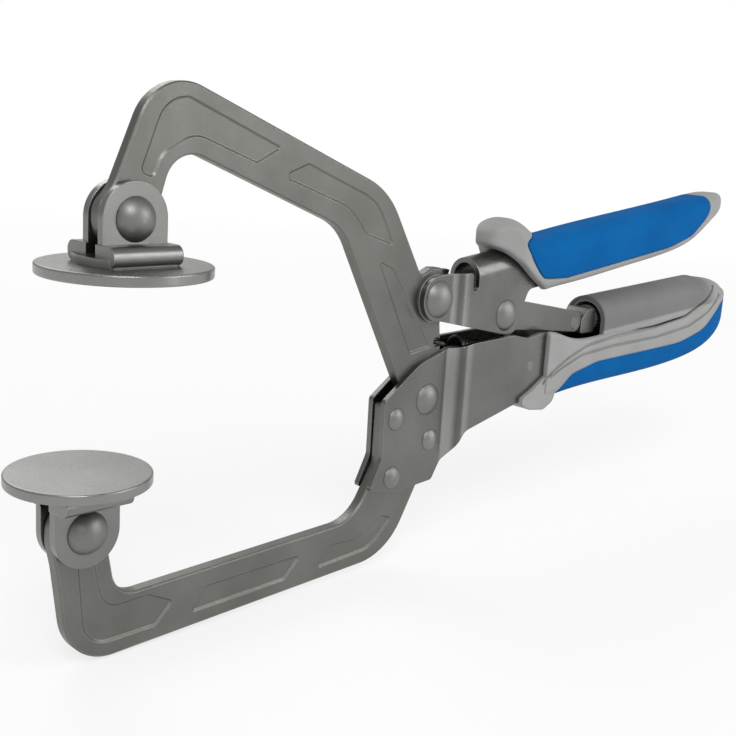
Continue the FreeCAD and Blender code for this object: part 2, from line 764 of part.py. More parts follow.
upperSplit = [(141.0, 45.6, 1.2), (146.4, 39.4, 6.0), (151.0, 34.8, 4.0), (163.0, 34.6, 8.0),
              (222.0, 41.8, 30.0), (236.0, 45.4, 16.0), (248.0, 52.8, 10.0), (251.6, 66.0),
              (150.4, 66.0), (149.2, 48.8, 3.0)]


def upperGripBlank(name, inset=0.0):
    body = gripLoft(name, upperStations, inset)
    addGripStations(body, hornStations, inset)
    addPocket(body, addSketch(body, "XZ_Plane", [outline(hornFront)]), 60.0)
    wide = [(100.0, -30.0), (300.0, -30.0), (300.0, 30.0), (100.0, 30.0)]
    nose = [(x + inset if x < 150 else x, y, *rest) for x, y, *rest in hornNose]
    addPocket(body, addSketch(body, "XY_Plane", [outline(wide), outline(nose)]), 2 * far)
    return body


def leverRoom():
    """Room for the lever inside its grip, open below."""
    body = addBody("lever_room")
    turn = Placement(Vector(0, archZ, archX), Rotation(Vector(1, 0, 0), -math.degrees(axisSlope)))
    room = archSection(s.lever_half + s.grip_play, -24.0, 0.0)
    long = (tangEnd - archX) / math.cos(axisSlope) + 1.0
    addPad(body, addSketch(body, "YZ_Plane", [room], turn=turn), long, False)
    return body


def upperGrip():
    """Pale moulding with its horn, and the blue panel let into its top and sides."""
    blank = upperGripBlank("upper_blank")
    skin = upperGripBlank("upper_skin")
    core = upperGripBlank("upper_core", s.panel_thick)
    split = splitBlank("upper_split", upperSplit)
    panel = common("upper_panel", cut("upper_shell", skin, core), split)
    skinAgain = upperGripBlank("upper_skin_again")
    coreAgain = upperGripBlank("upper_core_again", s.panel_thick)
    splitAgain = splitBlank("upper_split_again", upperSplit)
    seat = common("upper_seat", cut("upper_seat_shell", skinAgain, coreAgain), splitAgain)
    pale = cut("upper_pale", cut("upper_pale_seat", blank, seat), leverRoom())
    keep(pale, "upper_grip")
    keep(cut("upper_panel_cut", panel, leverRoom()), "upper_grip_panel")


# Linkage

def toggleLink():
    """Folded link from the lever's rivet to the plunger's pin."""
    body = addBody("toggle_link")
    tx, tz, px, pz = s.toggle_x, s.toggle_z, s.plunger_x, s.plunger_z
    big, small = 4.9, 3.3
    points = [
        (tx - big, tz + big + 0.4, big - 0.5),
        (tx - big, tz - big + 0.4, big - 0.2),
        (tx + big, tz - big - 0.2, 6.0),
        (tx + 20.0, tz - 6.6, 20.0),
        (px + small, pz - small, small - 0.3),
        (px + small, pz + small, small - 0.3),
        (tx + 12.0, tz + 2.9, 16.0),
    ]
    addPad(body, addSketch(body, "XZ_Plane", [outline(points)]), 2 * s.link_half,
           bind="2 * Sizes.link_half")
    hollow = [
        (tx - 12.0, tz - 12.0), (px + 12.0, pz - 12.0), (px + 12.0, pz + 9.0),
        (px - 9.0, pz + 9.0), (px - 9.0, pz + 2.0), (tx + 8.0, tz + 2.0), (tx + 8.0, tz + 9.0),
        (tx - 12.0, tz + 9.0),
    ]
    addPocket(body, addSketch(body, "XZ_Plane", [outline(hollow)]), 2 * (s.link_half - s.link_sheet))
    holes = [circle(tx, tz, s.toggle_shank + s.pin_play), circle(px, pz, s.pin_radius + s.pin_play)]
    addPocket(body, addSketch(body, "XZ_Plane", holes), 2 * far)
    return keep(body, "toggle_link")


blockLong = 11.4                # from the link's pin to the back of the plunger's block


def plungerShaft():
    """Round rod with a flat tongue that the link's walls straddle."""
    body = addBody("plunger_shaft")
    px, pz = s.plunger_x, s.plunger_z
    tongue = s.link_half - s.link_sheet - 0.1
    head = 2.9
    points = [(px - head, pz - head, head - 0.05), (px + 6.0, pz - head, 0.4),
              (px + 6.0, pz + head, 0.4), (px - head, pz + head, head - 0.05)]
    addPad(body, addSketch(body, "XZ_Plane", [outline(points)]), 2 * tongue)
    block = [(px + 3.8, pz - 3.9, 0.6), (px + blockLong, pz - 3.9, 0.6),
             (px + blockLong, pz + 3.9, 0.8), (px + 7.6, pz + 3.9, 0.8), (px + 3.8, pz + 0.6, 0.8)]
    addPad(body, addSketch(body, "XZ_Plane", [outline(block)]), 2 * s.link_half)
    rod = addSketch(body, "YZ_Plane", [circle(0, pz, s.rod_radius)], px + 6.0)
    addPad(body, rod, s.rod_end_x - px - 6.0, False)
    addPocket(body, addSketch(body, "XZ_Plane", [circle(px, pz, s.pin_radius)]), 2 * far)
    return keep(body, "plunger_shaft")


def crossPin(name, radius, half, x, z):
    pin = doc.addObject("Part::Cylinder", name)
    pin.setExpression("Radius", "Sizes." + radius)
    pin.Height = 2 * half
    pin.Placement = Placement(Vector(0, half, 0), Rotation(Vector(1, 0, 0), 90))
    place(pin, x, z)
    return keep(pin, name)


def rodRing(name, start, thick, radius, bore):
    """Ring on the plunger's rod."""
    body = addBody(name)
    loops = [circle(0, s.plunger_z, radius), circle(0, s.plunger_z, bore)]
    addPad(body, addSketch(body, "YZ_Plane", loops, start), thick, False)
    return body


def pressureWheel():
    """Knurled wheel behind the tongue."""
    body = addBody("pressure_wheel")
    start = s.plunger_x + blockLong + 0.3
    teeth = 24
    depth = 0.35
    points = []
    for i in range(2 * teeth):
        reach = s.wheel_radius - (depth if i % 2 else 0)
        angle = math.pi * i / teeth
        points.append((reach * math.cos(angle), s.plunger_z + reach * math.sin(angle)))
    loops = [outline(points), circle(0, s.plunger_z, s.rod_radius + s.pin_play)]
    addPad(body, addSketch(body, "YZ_Plane", loops, start), s.wheel_wide, False, "Sizes.wheel_wide")
    return keep(body, "pressure_wheel")


def plungerRings():
    """Spring and nut behind the wheel."""
    spring = s.plunger_x + blockLong + s.wheel_wide + 0.6
    keep(rodRing("plunger_spring", spring, 11.0, s.rod_radius + 1.3, s.rod_radius + 0.1),
         "plunger_spring")
    keep(rodRing("plunger_nut", spring + 11.0, 3.0, s.rod_radius + 1.6, s.rod_radius),
         "plunger_nut")


# Jaw spring

def jawSpring():
    """Extension spring from a hole in the upper arm to the anchor pin."""
    wire, coil = s.spring_wire, s.spring_coil
    front = Vector(s.hook_x + 2 * coil - 0.3, 0, s.hook_z)
    back = Vector(s.anchor_x - s.anchor_radius - 0.4, 0, s.anchor_z)
    along = back - front
    lean = Rotation(Vector(0, 0, 1), along)
    tube = doc.addObject("Part::Cylinder", "jaw_spring_coil")
    tube.Radius = coil + wire
    tube.Height = along.Length
    tube.Placement = Placement(front, lean)
    bore = doc.addObject("Part::Cylinder", "jaw_spring_bore")
    bore.Radius = coil - wire
    bore.Height = along.Length - 4 * wire
    bore.Placement = Placement(front + along.normalize() * 2 * wire, lean)
    hook = doc.addObject("Part::Torus", "jaw_spring_hook")
    hook.Radius1 = coil
    hook.Radius2 = wire
    hook.Placement = Placement(Vector(s.hook_x + coil, 0, s.hook_z), Rotation())
    loop = doc.addObject("Part::Torus", "jaw_spring_loop")
    loop.Radius1 = s.anchor_radius + wire + 0.1
    loop.Radius2 = wire
    loop.Placement = Placement(Vector(s.anchor_x, 0, s.anchor_z), Rotation(Vector(1, 0, 0), 90))
    hollow = cut("jaw_spring_tube", tube, bore)
    body = fuse("jaw_spring", fuse("jaw_spring_front", hollow, hook), loop)
    return keep(body, "jaw_spring")


# Pads

def padDisc(name, radius, x, z):
    """Turned steel disc with rounded rims, its back face at the top."""
    body = addBody(name)
    thick, edge = s.disc_thick, s.disc_edge
    points = [(0, 0), (radius, 0, edge), (radius, thick, edge), (0, thick)]
    addTurned(body, addSketch(body, "XZ_Plane", [outline(points)]))
    body.Placement = Placement(Vector(x, 0, z), Rotation())
    return keep(body, name)


def padBracket(name, long, stand):
    """Bracket folded from one sheet: base with a bowed front, thick sides and two eared walls.

    Its own origin is on the rivet, with the pad below."""
    body = addBody(name)
    low = -stand
    half, roll = s.bracket_half, s.bracket_roll
    bow = 2.6
    base = [
        (-long / 2, -half + 1.0, 1.0), (-long / 2 - bow, 0.0, 14.0), (-long / 2, half - 1.0, 1.0),
        (long / 2, half - 1.0, 1.0), (long / 2, -half + 1.0, 1.0),
    ]
    plate = addSketch(body, "XY_Plane", [outline(base)], low)
    addPad(body, plate, s.bracket_sheet, False, "Sizes.bracket_sheet")
    ear = [
        (-s.bracket_ear, low + 0.5), (s.bracket_ear, low + 0.5),
        (s.bracket_ear, s.bracket_ear, s.bracket_ear - 0.1),
        (-s.bracket_ear, s.bracket_ear, s.bracket_ear - 0.1),
    ]
    for side in (1, -1):
        hem = [
            (side * bracket_in, low, 0.0), (side * half, low, roll / 2 - 0.05),
            (side * half, low + roll, roll / 2 - 0.05), (side * bracket_in, low + roll, 0.0),
        ]
        addPad(body, addSketch(body, "YZ_Plane", [outline(hem)]), long)
        middle = -side * (bracket_in + bracket_out) / 2
        addPad(body, addSketch(body, "XZ_Plane", [outline(ear)], middle), s.bracket_sheet)
    bore = [circle(0, 0, s.pad_shank + s.pin_play)]
    addPocket(body, addSketch(body, "XZ_Plane", bore), 2 * far)
    return keep(body, name)


def washers(name, shank, x, z):
    thick = s.ear_gap - 2 * s.washer_play
    group = ringPair(name, shank + s.pin_play, s.washer_radius, arm_half + s.washer_play, thick)
    place(group, x, z)
    return keep(group, name)


def pads():
    upperBack = s.upper_pad_z - s.upper_stand
    padDisc("upper_pad_disc", s.upper_disc_radius, s.upper_pad_x, upperBack - s.disc_thick)
    upper = padBracket("upper_pad_bracket", s.bracket_long, s.upper_stand)
    place(upper, "upper_pad_x", "upper_pad_z")
    padDisc("lower_pad_disc", s.lower_disc_radius, s.lower_pad_x, -s.disc_thick)
    lower = padBracket("lower_pad_bracket", s.lower_bracket_long, lower_stand)
    lower.Placement = Placement(Vector(0, 0, 0), Rotation(Vector(1, 0, 0), 180))
    place(lower, "lower_pad_x", "lower_pad_z")


def rivets():
    main = keep(rivetSolid("main_pivot_rivet", plate_out, s.main_shank, s.main_head, s.main_dome),
                "main_pivot_rivet")
    place(main, "main_x", "main_z")
    lever = keep(rivetSolid("lever_pivot_rivet", ear_out, s.lever_shank, s.lever_head,
                            s.lever_dome), "lever_pivot_rivet")
    place(lever, "lever_x", "lever_z")
    toggle = keep(rivetSolid("toggle_rivet", s.lever_half, s.toggle_shank, s.toggle_head,
                             s.toggle_dome), "toggle_rivet")
    place(toggle, "toggle_x", "toggle_z")
    for name in ("upper_pad", "lower_pad"):
        seat = bracket_out + s.washer_play
        pad = keep(rivetSolid(name + "_rivet", seat, s.pad_shank, s.pad_head, s.pad_dome),
                   name + "_rivet")
        place(pad, name + "_x", name + "_z")
    group = doc.addObject("Part::Compound", "frame_rivets")
    small = []
    for x, z in smallRivets():
        one = rivetSolid("frame_rivet", plate_out, s.small_shank, s.small_head, s.small_dome)
        one.Placement = Placement(Vector(x, 0, z), Rotation())
        small.append(one)
    group.Links = small
    keep(group, "frame_rivets")
    washers("lever_pivot_washers", s.lever_shank, "lever_x", "lever_z")


lowerArm()
handleFrame()
lowerGrip()
guideSleeve()
lockPlate()
tubeEndPlug()
crossPin("spring_anchor_pin", "anchor_radius", wide_out, "anchor_x", "anchor_z")
upperArm()
upperLever()
upperGrip()
toggleLink()
plungerShaft()
crossPin("link_pin", "pin_radius", s.link_half, "plunger_x", "plunger_z")
pressureWheel()
plungerRings()
jawSpring()
pads()
rivets()
doc.recompute()

for thing in doc.Objects:
    if "Invalid" in thing.State or "Error" in thing.State:
        raise RuntimeError("%s is %s" % (thing.Name, thing.State))
os.makedirs("parts", exist_ok=True)
for part in parts:
    shape = part.Shape
    if shape.isNull() or not shape.isValid() or not shape.Solids:
        raise RuntimeError(part.Label + " has no valid solid")
    print("%-22s solids %d volume %9.1f" % (part.Label, len(shape.Solids), shape.Volume))
    shape.exportStep("parts/%s.step" % part.Label)
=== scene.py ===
import bmesh, bpy, json, math
from mathutils import Matrix, Vector


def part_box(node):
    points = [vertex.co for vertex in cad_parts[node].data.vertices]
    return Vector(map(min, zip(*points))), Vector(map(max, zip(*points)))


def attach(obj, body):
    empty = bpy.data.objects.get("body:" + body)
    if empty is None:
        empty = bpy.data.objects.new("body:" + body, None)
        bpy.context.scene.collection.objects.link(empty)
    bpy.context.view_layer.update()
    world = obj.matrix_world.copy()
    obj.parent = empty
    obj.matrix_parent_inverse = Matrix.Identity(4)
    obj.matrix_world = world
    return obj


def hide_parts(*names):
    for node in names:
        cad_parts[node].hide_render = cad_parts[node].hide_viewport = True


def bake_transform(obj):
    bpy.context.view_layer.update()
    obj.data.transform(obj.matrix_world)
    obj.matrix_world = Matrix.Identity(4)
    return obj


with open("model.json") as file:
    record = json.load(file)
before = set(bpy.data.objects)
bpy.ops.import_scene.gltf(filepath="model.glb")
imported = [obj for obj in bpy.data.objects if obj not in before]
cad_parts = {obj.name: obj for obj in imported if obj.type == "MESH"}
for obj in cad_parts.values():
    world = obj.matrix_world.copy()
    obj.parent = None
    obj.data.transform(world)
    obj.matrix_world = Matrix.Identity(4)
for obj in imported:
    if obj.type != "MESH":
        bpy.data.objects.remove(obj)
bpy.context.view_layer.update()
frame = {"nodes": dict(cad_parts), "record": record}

nodes = frame["nodes"]
print("frame loaded:", len(nodes), "nodes")


def addObject(name, data):
    thing = bpy.data.objects.new(name, data)
    bpy.context.scene.collection.objects.link(thing)
    return thing


def finishedMesh(thing):      # the evaluated object as a plain mesh, and the object removed
    mesh = bpy.data.meshes.new_from_object(
        thing.evaluated_get(bpy.context.evaluated_depsgraph_get()))
    bpy.data.objects.remove(thing)
    mesh.materials.clear()
    return mesh


# Shader helpers. Colours are linear, sizes of patterns in metres.

bumpDepth = 0.0002
edgeSpan = (0.985, 0.86)      # cosine of rounded to true normal: flat, then a full edge


def newMaterial(name):
    material = bpy.data.materials.new(name)
    material.use_nodes = True
    tree = material.node_tree
    return material, tree, tree.nodes["Principled BSDF"]


def addNode(tree, kind, **values):
    node = tree.nodes.new(kind)
    for key, value in values.items():
        setattr(node, key, value)
    return node


def noiseOn(tree, scale, detail, stretch=(1, 1, 1)):
    coords = addNode(tree, "ShaderNodeTexCoord")
    mapping = addNode(tree, "ShaderNodeMapping")
    mapping.inputs["Scale"].default_value = stretch
    noise = addNode(tree, "ShaderNodeTexNoise")
    noise.inputs["Scale"].default_value = scale
    noise.inputs["Detail"].default_value = detail
    tree.links.new(coords.outputs["Object"], mapping.inputs["Vector"])
    tree.links.new(mapping.outputs["Vector"], noise.inputs["Vector"])
    return noise.outputs["Fac"]


def objectAxes(tree):
    coords = addNode(tree, "ShaderNodeTexCoord")
    axes = addNode(tree, "ShaderNodeSeparateXYZ")
    tree.links.new(coords.outputs["Object"], axes.inputs[0])
    return axes.outputs


def ramp(tree, source, stops):
    node = addNode(tree, "ShaderNodeValToRGB")
    elements = node.color_ramp.elements
    while len(elements) < len(stops):
        elements.new(0.5)
    for element, (position, colour) in zip(elements, stops):
        element.position = position
        element.color = (*colour, 1)
    tree.links.new(source, node.inputs["Fac"])
    return node.outputs["Color"]


def mapRange(tree, source, low, high, toLow=0.0, toHigh=1.0):
    node = addNode(tree, "ShaderNodeMapRange")
    node.inputs["From Min"].default_value = low
    node.inputs["From Max"].default_value = high
    node.inputs["To Min"].default_value = toLow
    node.inputs["To Max"].default_value = toHigh
    tree.links.new(source, node.inputs["Value"])
    return node.outputs["Result"]


def join(tree, kind, operation, first, second):
    node = addNode(tree, kind, operation=operation)
    tree.links.new(first, node.inputs[0])
    tree.links.new(second, node.inputs[1])
    return node


def product(tree, first, second):
    return join(tree, "ShaderNodeMath", "MULTIPLY", first, second).outputs[0]


def addBump(tree, shader, height, strength, normal):
    node = addNode(tree, "ShaderNodeBump")
    node.inputs["Strength"].default_value = strength
    node.inputs["Distance"].default_value = bumpDepth
    tree.links.new(height, node.inputs["Height"])
    tree.links.new(normal, node.inputs["Normal"])
    tree.links.new(node.outputs["Normal"], shader.inputs["Normal"])


def roundedNormal(tree, radius):
    bevel = addNode(tree, "ShaderNodeBevel", samples=4)
    bevel.inputs["Radius"].default_value = radius
    return bevel.outputs["Normal"]


def edgeMask(tree, rounded):
    geometry = addNode(tree, "ShaderNodeNewGeometry")
    dot = join(tree, "ShaderNodeVectorMath", "DOT_PRODUCT", rounded, geometry.outputs["Normal"])
    return mapRange(tree, dot.outputs["Value"], *edgeSpan)


# Steel

steelLook = {
    "grainScale": 1500.0,     # fine grain of the blasted and plated sheet
    "grainBump": 0.04,
    "mottleScale": 55.0,      # tone changes over about two centimetres
    "edgeRadius": 0.00035,    # how far the rounded edges and their painted highlight reach
    "edgeHighlightLift": 0.10,         # how much lighter the painted edge highlight is
    "bendLightPeak": 2.5,          # highest painted highlight a bend may have against the flat sheet
}


def paintedBendLight(tree, tone, bends):      # painted highlight and shade bands where a sheet is bent across x
    low, high = bends[0][0], bends[-1][0]
    peak = steelLook["bendLightPeak"]
    along = mapRange(tree, objectAxes(tree)["X"], low, high)
    stops = [((x - low) / (high - low), (value / peak,) * 3) for x, value in bends]
    paintedBands = addNode(tree, "ShaderNodeVectorMath", operation="SCALE")
    paintedBands.inputs["Scale"].default_value = peak
    tree.links.new(ramp(tree, along, stops), paintedBands.inputs[0])
    return join(tree, "ShaderNodeVectorMath", "MULTIPLY", tone, paintedBands.outputs[0]).outputs[0]


def steel(name, tones, roughness, stretch=(1, 1, 1), bends=None):
    material, tree, shader = newMaterial(name)
    dark, light = tones
    shader.inputs["Metallic"].default_value = 1.0
    mottle = noiseOn(tree, steelLook["mottleScale"], 4.0)
    grain = noiseOn(tree, steelLook["grainScale"], 2.0, stretch)
    rounded = roundedNormal(tree, steelLook["edgeRadius"])
    tone = ramp(tree, mottle, [(0.30, dark), (0.72, light)])
    # Painted highlight and shade: the tone is scaled up and down in bands across the bends.
    if bends:
        tone = paintedBendLight(tree, tone, bends)
    # Painted highlight: the base colour is mixed towards a lighter tone along the edges.
    edgeHighlightMix = addNode(tree, "ShaderNodeMix", data_type="RGBA")
    edgeHighlightMix.inputs["B"].default_value = (*[c + steelLook["edgeHighlightLift"] for c in light], 1)
    tree.links.new(tone, edgeHighlightMix.inputs["A"])
    tree.links.new(edgeMask(tree, rounded), edgeHighlightMix.inputs["Factor"])
    tree.links.new(edgeHighlightMix.outputs["Result"], shader.inputs["Base Color"])
    tree.links.new(mapRange(tree, grain, 0.3, 0.7, *roughness), shader.inputs["Roughness"])
    addBump(tree, shader, grain, steelLook["grainBump"], rounded)
    return material


sheet = {
    "tones": ((0.142, 0.143, 0.137), (0.188, 0.189, 0.181)),
    "roughness": (0.26, 0.36),
    "stretch": (0.2, 1, 1),           # grain drawn out along x
}

# Painted highlight and shade bands over the two bends of a stepped sheet: x, then tone against the
# flat sheet.
frameBendLight = [(0.1150, 1.0), (0.1160, 1.75), (0.1172, 1.65), (0.1182, 0.72), (0.1192, 0.80),
              (0.1200, 1.60), (0.1212, 1.45), (0.1226, 1.0)]
leverBendLight = [(0.1138, 1.0), (0.1148, 1.70), (0.1158, 1.55), (0.1168, 0.75), (0.1180, 0.85),
              (0.1188, 1.60), (0.1200, 1.40), (0.1212, 1.0)]

armSteel = steel("satin arm steel", ((0.142, 0.145, 0.131), (0.192, 0.194, 0.179)), (0.36, 0.48))
sheetSteel = steel("satin sheet steel", **sheet)
frameSteel = steel("side plate steel with painted bend light", **sheet, bends=frameBendLight)
leverSteel = steel("lever steel with painted bend light", **sheet, bends=leverBendLight)
padSteel = steel("turned pad steel", ((0.24, 0.24, 0.229), (0.29, 0.29, 0.277)), (0.26, 0.36))
rivetSteel = steel("rivet steel", ((0.20, 0.202, 0.19), (0.25, 0.252, 0.238)), (0.44, 0.52))
bracketSteel = steel("bright bracket steel", ((0.19, 0.192, 0.182), (0.24, 0.242, 0.23)),
                     (0.28, 0.36))
springSteel = steel("dark spring wire", ((0.035, 0.035, 0.034), (0.07, 0.07, 0.068)),
                    (0.30, 0.42))


# Mouldings

mouldLook = {
    "mottleScale": 70.0,
    "softEdge": 0.0009,       # rounding of the moulded edges
    "roughnessSpread": 0.06,
    "tubeFront": 0.1876,      # where the arched tube starts, along x
    "tubeRear": (0.2560, 0.2640),     # where its tone runs out into the rear of the grip
    "tubeLow": 0.0150,        # its lower edge at the front, and how that edge rises
    "tubeRise": 0.060,
    "tubeFade": (0.0004, 0.0008),     # width of the change of tone, at the front and below
    "tubeShadeTone": 0.56,         # the tube's painted shade against the grip
}


# Painted shade: a darker tone over the arched tube of the lower grip.
def paintedTubeShade(tree):
    axes = objectAxes(tree)
    front, rise = mouldLook["tubeFront"], mouldLook["tubeRise"]
    frontFade, lowFade = mouldLook["tubeFade"]
    level = mouldLook["tubeLow"] - rise * front
    line = addNode(tree, "ShaderNodeMath", operation="MULTIPLY_ADD")
    line.inputs[1].default_value = -rise
    tree.links.new(axes["X"], line.inputs[0])
    tree.links.new(axes["Z"], line.inputs[2])
    above = mapRange(tree, line.outputs[0], level, level + lowFade)
    behind = mapRange(tree, axes["X"], front, front + frontFade)
    before = mapRange(tree, axes["X"], *mouldLook["tubeRear"], 1.0, 0.0)
    zone = product(tree, product(tree, above, behind), before)
    return mapRange(tree, zone, 0.0, 1.0, 1.0, mouldLook["tubeShadeTone"])


def moulded(name, tones, roughness, grainScale, bump, gloss, tube=False):
    material, tree, shader = newMaterial(name)
    dark, light = tones
    spread = mouldLook["roughnessSpread"]
    mottle = noiseOn(tree, mouldLook["mottleScale"], 3.0)
    grain = noiseOn(tree, grainScale, 2.0)
    tone = ramp(tree, mottle, [(0.32, dark), (0.70, light)])
    # Painted shade: the base colour is darkened over the tube.
    if tube:
        tubeShaded = addNode(tree, "ShaderNodeVectorMath", operation="SCALE")
        tree.links.new(tone, tubeShaded.inputs[0])
        tree.links.new(paintedTubeShade(tree), tubeShaded.inputs["Scale"])
        tone = tubeShaded.outputs[0]
    tree.links.new(tone, shader.inputs["Base Color"])
    tree.links.new(mapRange(tree, grain, 0.3, 0.7, roughness - spread, roughness + spread),
                   shader.inputs["Roughness"])
    shader.inputs["Specular IOR Level"].default_value = gloss
    addBump(tree, shader, grain, bump, roundedNormal(tree, mouldLook["softEdge"]))
    return material


greyMoulding = {
    "tones": ((0.27, 0.27, 0.266), (0.31, 0.31, 0.306)),
    "roughness": 0.56, "grainScale": 1400.0, "bump": 0.12, "gloss": 0.25,
}
blueMoulding = {
    "tones": ((0.001, 0.088, 0.285), (0.0015, 0.106, 0.325)),
    "roughness": 0.70, "grainScale": 1800.0, "bump": 0.22, "gloss": 0.04,
}

greyGrip = moulded("pale grey moulding", **greyMoulding)
tubeGrip = moulded("pale grey moulding with painted tube shade", **greyMoulding, tube=True)
blueGrip = moulded("blue soft grip", **blueMoulding)


# Which piece gets which finish

finishOfSlot = {
    "arm_steel": armSteel,
    "sheet_steel": sheetSteel,
    "pad_steel": padSteel,
    "rivet_steel": rivetSteel,
    "spring_steel": springSteel,
    "grip_grey": greyGrip,
    "grip_blue": blueGrip,
}

finishOfNode = {              # pieces that differ from the rest of their slot
    "handle_frame": frameSteel,
    "upper_lever": leverSteel,
    "lower_grip": tubeGrip,
    "upper_pad_bracket": bracketSteel,
    "lower_pad_bracket": bracketSteel,
}


def dressNodes():
    for part in frame["record"]["subparts"]:
        name = part["node"]
        mesh = nodes[name].data
        mesh.materials.clear()
        mesh.materials.append(finishOfNode.get(name, finishOfSlot[part["material_slot"]]))


dressNodes()
print("materials set")


# Upper grip with rounded edges. The lower grip stays as it is, so that it keeps its grooves.

softGrip = {
    "voxel": 0.00044,
    "smoothing": 12,          # passes, which round an edge to about a millimetre
    "push": 0.6,
}


def softenGrip(name, body):
    plain = nodes[name].data.copy()
    shell = bmesh.new()
    shell.from_mesh(plain)
    bmesh.ops.remove_doubles(shell, verts=shell.verts, dist=1e-6)
    shell.to_mesh(plain)
    shell.free()
    rough = addObject(name + " rough", plain)
    remesh = rough.modifiers.new("remesh", "REMESH")
    remesh.mode = "VOXEL"
    remesh.voxel_size = softGrip["voxel"]
    remesh.use_smooth_shade = True
    smooth = rough.modifiers.new("smooth", "SMOOTH")
    smooth.factor = softGrip["push"]
    smooth.iterations = softGrip["smoothing"]
    soft = finishedMesh(rough)
    soft.materials.append(nodes[name].data.materials[0])
    grip = addObject(name + "_soft", soft)
    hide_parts(name)
    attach(grip, body)
    print(name, "softened:", len(soft.polygons), "faces")


softenGrip("upper_grip", "upper_handle")


# Springs

jawSpring = {
    "hook": (0.1125, 0, 0.0178),    # the hole in the upper arm
    "anchor": (0.1500, 0, 0.0080),  # the pin in the side plates
    "coilRadius": 0.0032,
    "hookRadius": 0.0023,
    "wireRadius": 0.00058,
    "turns": 17,
    "lead": 0.0075,                 # straight wire between the front hook and the coil
}

plungerSpring = {
    "coilRadius": 0.0036,
    "hookRadius": 0.0036,           # closed flat ends: the loop lies on the last turn
    "wireRadius": 0.00045,
    "turns": 6,
    "lead": 0.0,
}

springMesh = {
    "stepsPerTurn": 28,
    "loopSteps": 24,
    "loopSweep": 215,               # degrees
    "wireSides": 10,
}


def point(tree, x=None, z=None):
    spot = addNode(tree, "ShaderNodeCombineXYZ")
    for axis, source in (("X", x), ("Z", z)):
        if source:
            tree.links.new(source, spot.inputs[axis])
    return spot.outputs[0]


def springTree():
    tree = bpy.data.node_groups.new("wire spring", "GeometryNodeTree")
    face = tree.interface
    face.new_socket("Geometry", in_out="INPUT", socket_type="NodeSocketGeometry")
    sizes = {}
    for label in ("Length", "Coil Radius", "Wire Radius", "Turns", "Hook Radius", "Lead"):
        sizes[label] = face.new_socket(label, in_out="INPUT", socket_type="NodeSocketFloat")
    sizes["Finish"] = face.new_socket("Finish", in_out="INPUT", socket_type="NodeSocketMaterial")
    face.new_socket("Geometry", in_out="OUTPUT", socket_type="NodeSocketGeometry")
    given = addNode(tree, "NodeGroupInput").outputs
    result = addNode(tree, "NodeGroupOutput")
    link = tree.links.new

    coil = addNode(tree, "GeometryNodeCurveSpiral")
    coil.inputs["Resolution"].default_value = springMesh["stepsPerTurn"]
    link(given["Turns"], coil.inputs["Rotations"])
    link(given["Coil Radius"], coil.inputs["Start Radius"])
    link(given["Coil Radius"], coil.inputs["End Radius"])
    link(given["Length"], coil.inputs["Height"])
    joined = addNode(tree, "GeometryNodeJoinGeometry")
    link(coil.outputs[0], joined.inputs[0])

    lead = addNode(tree, "ShaderNodeMath", operation="MULTIPLY")
    lead.inputs[1].default_value = -1.0
    link(given["Lead"], lead.inputs[0])
    ends = ((-1, None, lead.outputs[0]), (1, given["Length"], given["Length"]))
    for side, coilEnd, loopEnd in ends:               # a hook at each end, heights along z
        loop = addNode(tree, "GeometryNodeCurveArc", mode="RADIUS")
        loop.inputs["Resolution"].default_value = springMesh["loopSteps"]
        loop.inputs["Start Angle"].default_value = 0.0
        loop.inputs["Sweep Angle"].default_value = math.radians(springMesh["loopSweep"])
        link(given["Hook Radius"], loop.inputs["Radius"])
        place = addNode(tree, "GeometryNodeTransform")
        place.inputs["Rotation"].default_value = (side * math.pi / 2, 0, 0)
        link(loop.outputs[0], place.inputs["Geometry"])
        link(point(tree, z=loopEnd), place.inputs["Translation"])
        link(place.outputs[0], joined.inputs[0])
        run = addNode(tree, "GeometryNodeCurvePrimitiveLine")     # straight from coil to loop
        link(point(tree, given["Coil Radius"], coilEnd), run.inputs["Start"])
        link(point(tree, given["Hook Radius"], loopEnd), run.inputs["End"])
        link(run.outputs[0], joined.inputs[0])

    wire = addNode(tree, "GeometryNodeCurvePrimitiveCircle", mode="RADIUS")
    wire.inputs["Resolution"].default_value = springMesh["wireSides"]
    link(given["Wire Radius"], wire.inputs["Radius"])
    sweep = addNode(tree, "GeometryNodeCurveToMesh")
    sweep.inputs["Fill Caps"].default_value = True
    link(joined.outputs[0], sweep.inputs["Curve"])
    link(wire.outputs[0], sweep.inputs["Profile Curve"])
    smooth = addNode(tree, "GeometryNodeSetShadeSmooth")
    link(sweep.outputs[0], smooth.inputs["Geometry"])
    real = addNode(tree, "GeometryNodeRealizeInstances")
    link(smooth.outputs[0], real.inputs[0])
    finish = addNode(tree, "GeometryNodeSetMaterial")
    link(real.outputs[0], finish.inputs["Geometry"])
    link(given["Finish"], finish.inputs["Material"])
    link(finish.outputs[0], result.inputs[0])
    return tree, {label: socket.identifier for label, socket in sizes.items()}


wireSpring, springInputs = springTree()


def makeSpring(name, start, end, sizes):
    start, end = Vector(start), Vector(end)
    values = {
        "Length": (end - start).length, "Coil Radius": sizes["coilRadius"],
        "Wire Radius": sizes["wireRadius"], "Turns": float(sizes["turns"]),
        "Hook Radius": sizes["hookRadius"], "Lead": sizes["lead"], "Finish": springSteel,
    }
    blank = addObject(name + " blank", bpy.data.meshes.new(name + " blank"))
    modifier = blank.modifiers.new("spring", "NODES")
    modifier.node_group = wireSpring
    for label, value in values.items():
        modifier[springInputs[label]] = value
    plain = finishedMesh(blank)
    plain.materials.append(springSteel)
    turn = (end - start).to_track_quat("Z", "Y").to_matrix().to_4x4()
    plain.transform(Matrix.Translation(start) @ turn)
    return addObject(name, plain)


